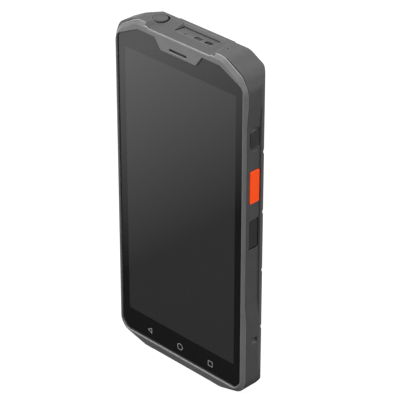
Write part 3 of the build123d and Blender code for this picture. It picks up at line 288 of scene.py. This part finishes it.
def rubber(name, colour, stipple=0.5 * MM, depth=0.03 * MM, seam=0.6 * MM):
    """Soft rubber with a close stipple and a little dust."""
    s = Shader(name)
    dust = s.spread(s.noise(DUST_SIZE, detail=4, roughness=0.6), *PATCHY, 0, 1)
    tone = s.mix(dust, colour, shade(colour, DUST_LIGHTER))
    # painted shade in seams and corners
    s.vary("Base Color", s.painted_seam_shade(tone, seam, RUBBER_SHADE_DEPTH))
    s.hold("Roughness", RUBBER_ROUGHNESS)
    s.hold("Sheen Weight", RUBBER_SHEEN)
    s.hold("Sheen Roughness", RUBBER_SHEEN_ROUGHNESS)
    dots = s.spread(s.spots(stipple, STIPPLE_ORDER), 0.0, STIPPLE_RADIUS, 1, 0, smooth=True)
    s.vary("Normal", s.bump(dots, depth, s.soft_edges(RUBBER_EDGE)))
    return s.material


BRUSH_WIDTH = 0.6 * MM
BRUSH_STRETCH = (1, 1, 6)
BRUSH_DEPTH = 0.004 * MM
BRUSH_DARKER = 0.85
BRUSH_LIGHTER = 1.1
BRUSH_DOWN = 0.06             # change of roughness between the lines
BRUSH_UP = 0.08
METAL_EDGE = 0.08 * MM


def metal(name, colour, roughness):
    """Bare metal with fine brushing."""
    s = Shader(name)
    s.hold("Metallic", 1.0)
    lines = s.noise(BRUSH_WIDTH, detail=3, stretch=BRUSH_STRETCH)
    s.vary("Base Color", s.mix(lines, shade(colour, BRUSH_DARKER), shade(colour, BRUSH_LIGHTER)))
    s.vary("Roughness", s.spread(lines, *CLOUDY, roughness - BRUSH_DOWN, roughness + BRUSH_UP))
    s.vary("Normal", s.bump(lines, BRUSH_DEPTH, s.soft_edges(METAL_EDGE)))
    return s.material


PANE_CLOUD = 2 * MM
PANE_ROUGHNESS = 0.04
PANE_IOR = 1.5
PANE_COAT = 0.3


def pane(name, tint, inner):
    """Small window: tinted glass over what lies behind it."""
    s = Shader(name)
    s.vary("Base Color", s.mix(s.noise(PANE_CLOUD), tint, inner))
    s.hold("Roughness", PANE_ROUGHNESS)
    s.hold("IOR", PANE_IOR)
    s.hold("Coat Weight", PANE_COAT)
    return s.material


# ------------------------------------------------------------ the materials
BEZEL_GREY = (0.112, 0.112, 0.114)
HOUSING_GREY = (0.062, 0.062, 0.063)
DOOR_PAINTED_SHADE = 0.8             # painted shade: the door is drawn darker than the housing beside it
RUBBER_BLACK = (0.05, 0.05, 0.051)
SEAL_BLACK = (0.02, 0.02, 0.02)
KEY_GREY = (0.033, 0.033, 0.034)
POWER_GREY = (0.038, 0.038, 0.039)
PLUG_GREY = (0.05, 0.05, 0.051)
ORANGE = (1.0, 0.075, 0.003)
COMPONENT_BLACK = (0.015, 0.015, 0.015)
BATTERY_BLACK = (0.022, 0.022, 0.023)
STEEL = (0.55, 0.55, 0.56)
FRAME_GREY = (0.5, 0.5, 0.51)
SCREW_BLACK = (0.12, 0.12, 0.125)
GOLD = (0.85, 0.6, 0.25)
KEY_EDGE = 0.2 * MM
KEY_ROUGHNESS = 0.42
FINE_DEPTH = 0.006 * MM       # grain of the finer mouldings
RUBBER_FINE_DEPTH = 0.01 * MM


# The moulded parts below carry a painted highlight on edges that face up and painted shade in
# their seams; the power key's bright top and dark ring are painted this way.
def bezel_plastic():
    return moulded("bezel_plastic", BEZEL_GREY, roughness=0.38, grain=0.15 * MM,
                   depth=FINE_DEPTH, edge_highlight=5.0, seam=0.3 * MM, shade_depth=0.25)


def housing_plastic():
    return moulded("housing_plastic", HOUSING_GREY, roughness=0.5, edge_highlight=3.5)


# the housing plastic with painted shade
def door_plastic():
    return moulded("door_plastic", shade(HOUSING_GREY, DOOR_PAINTED_SHADE), roughness=0.5, edge_highlight=2.0)


def grip_rubber():
    return rubber("grip_rubber", RUBBER_BLACK)


def key_grey():
    return moulded("key_grey", KEY_GREY, roughness=KEY_ROUGHNESS, edge=KEY_EDGE, edge_highlight=7.0)


def key_orange():
    return moulded("key_orange", ORANGE, roughness=0.38, edge=KEY_EDGE, mottle=0.03,
                   depth=FINE_DEPTH, seam=0.3 * MM, gloss=0.25)


def power_grey():
    return moulded("power_grey", POWER_GREY, roughness=KEY_ROUGHNESS, edge=KEY_EDGE,
                   edge_highlight=11.0, seam=1.4 * MM, shade_depth=0.9)


def plug_rubber():
    return rubber("plug_rubber", PLUG_GREY, stipple=0.4 * MM, depth=RUBBER_FINE_DEPTH,
                  seam=1.4 * MM)


def seal_rubber():
    return rubber("seal_rubber", SEAL_BLACK, stipple=0.3 * MM, depth=RUBBER_FINE_DEPTH)


def component_black():
    return moulded("component_black", COMPONENT_BLACK, roughness=0.5)


def battery_shell():
    return moulded("battery_shell", BATTERY_BLACK, roughness=0.33, mottle=0.2)


def mesh_steel():
    return metal("mesh_steel", STEEL, roughness=0.3)


def frame_metal():
    return metal("frame_metal", FRAME_GREY, roughness=0.45)


def screw_steel():
    return metal("screw_steel", SCREW_BLACK, roughness=0.35)


def contact_gold():
    return metal("contact_gold", GOLD, roughness=0.22)


FILM_AMBER = (0.3, 0.12, 0.02)
FILM_COPPER = (0.45, 0.2, 0.05)
TRACES_PER_METRE = 320
TRACE_EDGE = (0.45, 0.55)     # of the wave, where film turns to copper
FILM_ROUGHNESS = 0.3


def flex_film():
    """Flex circuit film: copper traces show through."""
    s = Shader("flex_film")
    wave = s.add("ShaderNodeTexWave", wave_type="BANDS", bands_direction="X")
    wave.inputs["Scale"].default_value = TRACES_PER_METRE
    s.join(s.place, wave.inputs["Vector"])
    lines = s.spread(wave.outputs["Fac"], *TRACE_EDGE, 0, 1)
    s.vary("Base Color", s.mix(lines, FILM_AMBER, FILM_COPPER))
    s.hold("Roughness", FILM_ROUGHNESS)
    return s.material


MASK_DARK = (0.004, 0.03, 0.018)
MASK_LIGHT = (0.006, 0.045, 0.028)
LANE_GREEN = (0.02, 0.12, 0.07)
LANE_PITCH = 2.4 * MM
LANE_EDGE = (0.03, 0.06)      # distance from the middle of a lane to the mask
LANE_HEIGHT = 0.02 * MM
MASK_CLOUD = 5 * MM
MASK_ROUGHNESS = 0.35


def board_laminate():
    """Circuit board: solder mask over raised copper lanes."""
    s = Shader("board_laminate")
    cells = s.add("ShaderNodeTexVoronoi", feature="DISTANCE_TO_EDGE", distance="CHEBYCHEV")
    cells.inputs["Scale"].default_value = 1 / LANE_PITCH
    s.join(s.place, cells.inputs["Vector"])
    lanes = s.spread(cells.outputs["Distance"], *LANE_EDGE, 1, 0)
    mask = s.mix(s.noise(MASK_CLOUD), MASK_DARK, MASK_LIGHT)
    s.vary("Base Color", s.mix(lanes, mask, LANE_GREEN))
    s.hold("Roughness", MASK_ROUGHNESS)
    s.vary("Normal", s.bump(lanes, LANE_HEIGHT))
    return s.material


GLASS_BLACK = (0.0095, 0.0095, 0.01)
DISPLAY_GREY = (0.026, 0.026, 0.026)
MODULE_BORDER = 1.25 * MM     # the display module round its lit area
PRINT_BLUR = 0.12 * MM
SMEAR_SIZE = 14 * MM
SMEAR_STRETCH = (1, 1, 0.5)
SMEAR_ROUGHNESS = (0.03, 0.09)
GLASS_IOR = 1.52
GLASS_EDGE = 0.12 * MM
GLASS_SPECULAR = 0.5
RIM_REACH = 0.9 * MM          # the bezel's lip takes the gloss off the rim


def screen_glass():
    """Touch glass: black print round the lit area, faint smears on top."""
    s = Shader("screen_glass")
    x, _, z = s.axes()
    half_width = DISPLAY_HIGH[0] - MODULE_BORDER
    half_height = (DISPLAY_HIGH[2] - DISPLAY_LOW[2]) / 2 - MODULE_BORDER
    centre = middle(DISPLAY_LOW, DISPLAY_HIGH, 2)

    def within(distance, half):
        return s.spread(distance, half - PRINT_BLUR, half + PRINT_BLUR, 1, 0)

    across = within(s.maths("ABSOLUTE", x), half_width)
    along = within(s.maths("ABSOLUTE", s.maths("SUBTRACT", z, centre)), half_height)
    lit = s.maths("MULTIPLY", across, along)
    s.vary("Base Color", s.mix(lit, GLASS_BLACK, DISPLAY_GREY))
    smear = s.noise(SMEAR_SIZE, detail=5, roughness=0.65, stretch=SMEAR_STRETCH)
    s.vary("Roughness", s.spread(smear, *PATCHY, *SMEAR_ROUGHNESS))
    s.hold("IOR", GLASS_IOR)
    s.vary("Specular IOR Level", s.maths("MULTIPLY", s.openness(RIM_REACH, 0), GLASS_SPECULAR))
    s.vary("Normal", s.soft_edges(GLASS_EDGE))
    return s.material


LEFT_EYE = (0.045, 0.045, 0.047)
RIGHT_EYE = (0.008, 0.008, 0.009)
EYE_CLOUD = (0.02, 0.018, 0.022)
EYE_CLOUD_SIZE = 0.8 * MM
EYE_BLUR = 0.1 * MM
EYE_SPECULAR = 0.1
EYE_ROUGHNESS = 0.08


def scan_glass():
    """Scanner windows: the right one is the darker, with its lens behind it."""
    s = Shader("scan_glass")
    x, _, _ = s.axes()
    centre = middle(WINDOWS_LOW, WINDOWS_HIGH, 0)
    right = s.spread(x, centre - EYE_BLUR, centre + EYE_BLUR, 0, 1)
    cloud = s.spread(s.noise(EYE_CLOUD_SIZE), *CLOUDY, 0, 1)
    s.vary("Base Color", s.mix(cloud, s.mix(right, LEFT_EYE, RIGHT_EYE), EYE_CLOUD))
    s.hold("Specular IOR Level", EYE_SPECULAR)
    s.hold("Roughness", EYE_ROUGHNESS)
    return s.material


def aimer_glass():
    return pane("aimer_glass", tint=(0.2, 0.2, 0.2), inner=(0.28, 0.28, 0.28))


def camera_glass():
    return pane("camera_glass", tint=(0.006, 0.006, 0.007), inner=(0.01, 0.01, 0.012))


def lamp_glass():
    return pane("lamp_glass", tint=(0.7, 0.68, 0.5), inner=(0.8, 0.78, 0.62))


def display_panel():
    return pane("display", tint=(0.01, 0.01, 0.011), inner=(0.014, 0.014, 0.016))


def dress(material, *names):
    """Gives a material to CAD nodes."""
    for name in names:
        slots = nodes[name].data.materials
        slots.clear()
        slots.append(material)


# Outside
dress(screen_glass(), "touch_glass")
dress(bezel_plastic(), "front_bezel")
dress(housing_plastic(), "main_housing", "scan_bezel")
dress(door_plastic(), "battery_door")
dress(grip_rubber(), "left_grip", "right_grip")
dress(power_grey(), "power_button")
dress(key_grey(), "low_key", "volume_rocker")
dress(key_orange(), "right_scan_key", "left_scan_key")
dress(plug_rubber(), "jack_plug")
dress(scan_glass(), "scan_windows")
dress(aimer_glass(), "aimer_lens")
dress(camera_glass(), "camera_window")
dress(lamp_glass(), "flash_lens")
dress(contact_gold(), "charging_contacts")
dress(screw_steel(), "board_screws", "housing_screws")

# Inside
dress(display_panel(), "display_module")
dress(seal_rubber(), "battery_seal", "frame_gasket")
dress(component_black(), "glass_tape", "earpiece_mesh", "earpiece_receiver", "audio_jack",
      "loudspeaker", "camera_module", "battery_connector")
dress(battery_shell(), "battery_pack")
dress(mesh_steel(), "right_switches", "left_switches", "microphones", "shield_cans",
      "usb_c_socket", "vibration_motor")
dress(frame_metal(), "chassis_plate", "right_key_bracket", "left_key_bracket", "scan_engine")
dress(flex_film(), "right_key_flex", "left_key_flex", "board_flex")
dress(board_laminate(), "main_board", "sub_board")

# --------------------------------------------------------- navigation signs
ICON_X = -0.45 * MM           # of the middle sign
ICON_Z = 9.65 * MM
ICON_SPACING = 18.14 * MM
ICON_HALF = 1.22 * MM
ICON_LINE = 0.24 * MM
ICON_THICKNESS = 0.01 * MM
ICON_GREY = (0.36, 0.36, 0.36)
INK_DARKER = 0.9
INK_GRAIN = 0.4 * MM
INK_ROUGHNESS = 0.25
RING_SIDES = 32
RING_SIZE = 1.18              # the ring is larger than the other two signs


def icon_ink():
    """Light grey print under the glass's gloss."""
    s = Shader("icon_ink")
    s.vary("Base Color", s.mix(s.noise(INK_GRAIN), shade(ICON_GREY, INK_DARKER), ICON_GREY))
    s.hold("Roughness", INK_ROUGHNESS)
    return s.material


def outline_piece(name, corners, width, face, thickness):
    """Closed line of a given width along corners (x, z), raised off y = face."""
    mesh = bpy.data.meshes.new(name)
    piece = bpy.data.objects.new(name, mesh)
    bpy.context.scene.collection.objects.link(piece)
    form = bmesh.new()
    count = len(corners)
    rings = []
    for index, corner in enumerate(corners):
        towards = (corner - corners[index - 1]).normalized()
        onwards = (corners[(index + 1) % count] - corner).normalized()
        along = towards + onwards
        outward = Vector((along.y, -along.x))
        shift = outward * width / outward.length_squared
        rings.append([
            form.verts.new((corner.x + side * shift.x, y, corner.y + side * shift.y))
            for side in (1, -1) for y in (face, face - thickness)
        ])
    for index, here in enumerate(rings):
        there = rings[(index + 1) % count]
        for a, b in ((0, 1), (1, 3), (3, 2), (2, 0)):
            form.faces.new((here[a], here[b], there[b], there[a]))
    bmesh.ops.recalc_face_normals(form, faces=form.faces)
    form.to_mesh(mesh)
    form.free()
    return piece


def navigation_sign(name, outline, place, ink):
    """One sign at the foot of the glass; the outline's half size is 1."""
    centre = Vector((ICON_X + place * ICON_SPACING, ICON_Z))
    corners = [centre + Vector(corner) * ICON_HALF for corner in outline]
    icon = outline_piece(name, corners, ICON_LINE, GLASS_LOW[1], ICON_THICKNESS)
    icon.data.materials.append(ink)
    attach(icon, "terminal")


def ring(sides, radius):
    """Corners of a regular polygon."""
    turns = [math.tau * side / sides for side in range(sides)]
    return [(radius * math.cos(turn), radius * math.sin(turn)) for turn in turns]


triangle = [(-1, 0), (0.75, -1), (0.75, 1)]
square = [(-1, -1), (1, -1), (1, 1), (-1, 1)]
ink = icon_ink()
navigation_sign("icon_back", triangle, -1, ink)
navigation_sign("icon_home", ring(RING_SIDES, RING_SIZE), 0, ink)
navigation_sign("icon_list", square, 1, ink)

# ----------------------------------------------------------- floor and light
FLOOR_SIZE = 8.0
FLOOR_DROP = 0.1 * MM
FLOOR_GREY = (0.5, 0.5, 0.5, 1)
FLOOR_ROUGHNESS = 0.9
FLOOR_GLOW = 1.4
GLOW_SHARE = 0.65             # the rest is the lit floor, with the shadow
REFLECTION_START = -0.0716    # x on the floor where its painted reflection, seen only by mirrors, is black
REFLECTION_END = -0.2374      # and where it is brightest
REFLECTION_TOP = 1.33
WHITE = (1, 1, 1, 1)
AMBIENT = 1.1
OBJECT_MIDDLE = Vector((0, 0, 0.08))


def stage_floor():
    """Pale floor: white to the camera, with the object's shadow on it; to mirrors it shows a
    painted reflection, a glow that is black near the object and brightest further out.
    """
    bpy.ops.mesh.primitive_plane_add(size=FLOOR_SIZE, location=(0, 0, -FLOOR_DROP))
    floor = bpy.context.object
    floor.name = "floor"
    s = Shader("floor")
    s.hold("Base Color", FLOOR_GREY)
    s.hold("Roughness", FLOOR_ROUGHNESS)
    s.hold("Specular IOR Level", 0.0)
    lit = s.surface.outputs[0]

    def blend(factor, low, high):
        node = s.add("ShaderNodeMixShader")
        if isinstance(factor, float):
            node.inputs["Fac"].default_value = factor
        else:
            s.join(factor, node.inputs["Fac"])
        s.join(low, node.inputs[1])
        s.join(high, node.inputs[2])
        return node.outputs[0]

    path = s.add("ShaderNodeLightPath")
    glow = s.add("ShaderNodeEmission")
    glow.inputs["Strength"].default_value = FLOOR_GLOW
    seen = blend(GLOW_SHARE, lit, glow.outputs[0])
    # painted reflection: mirrors see the floor as a glow that goes from black near the object to
    # brightest further out along -x
    painted_reflection = s.add("ShaderNodeEmission")
    x, _, _ = s.axes()
    fade = s.spread(x, REFLECTION_START, REFLECTION_END, 0.0, REFLECTION_TOP)
    s.join(fade, painted_reflection.inputs["Strength"])
    by_camera = blend(path.outputs["Is Camera Ray"], lit, seen)
    by_gloss = blend(path.outputs["Is Glossy Ray"], by_camera, painted_reflection.outputs[0])
    s.join(by_gloss, s.output.inputs["Surface"])
    floor.data.materials.append(s.material)


def studio_world():
    """White to the camera, mirrors and glass; soft grey light for the rest."""
    world = bpy.data.worlds.new("studio")
    bpy.context.scene.world = world
    world.use_nodes = True
    tree = world.node_tree
    path = tree.nodes.new("ShaderNodeLightPath")
    seen = path.outputs["Is Camera Ray"]
    for ray in ("Is Glossy Ray", "Is Transmission Ray"):
        either = tree.nodes.new("ShaderNodeMath")
        either.operation = "MAXIMUM"
        tree.links.new(seen, either.inputs[0])
        tree.links.new(path.outputs[ray], either.inputs[1])
        seen = either.outputs[0]
    level = tree.nodes.new("ShaderNodeMapRange")
    level.inputs["To Min"].default_value = AMBIENT
    level.inputs["To Max"].default_value = 1.0
    tree.links.new(seen, level.inputs["Value"])
    backdrop = tree.nodes["Background"]
    backdrop.inputs["Color"].default_value = WHITE
    tree.links.new(level.outputs["Result"], backdrop.inputs["Strength"])


def softbox(name, place, size, power):
    """Square soft lamp at place, turned to the object."""
    lamp = bpy.data.lights.new(name, "AREA")
    lamp.size = size
    lamp.energy = power
    body = bpy.data.objects.new(name, lamp)
    bpy.context.scene.collection.objects.link(body)
    body.location = place
    aim = OBJECT_MIDDLE - Vector(place)
    body.rotation_euler = aim.to_track_quat("-Z", "Y").to_euler()


studio_world()
stage_floor()
softbox("lamp_top", place=(-0.15, -0.25, 1.1), size=0.9, power=2.2)
softbox("lamp_front", place=(-0.6, -0.95, 0.8), size=0.8, power=6.5)
softbox("lamp_right", place=(0.9, -0.2, 1.0), size=0.7, power=1.6)
softbox("lamp_back", place=(-0.4, 1.2, 0.5), size=0.8, power=0.8)
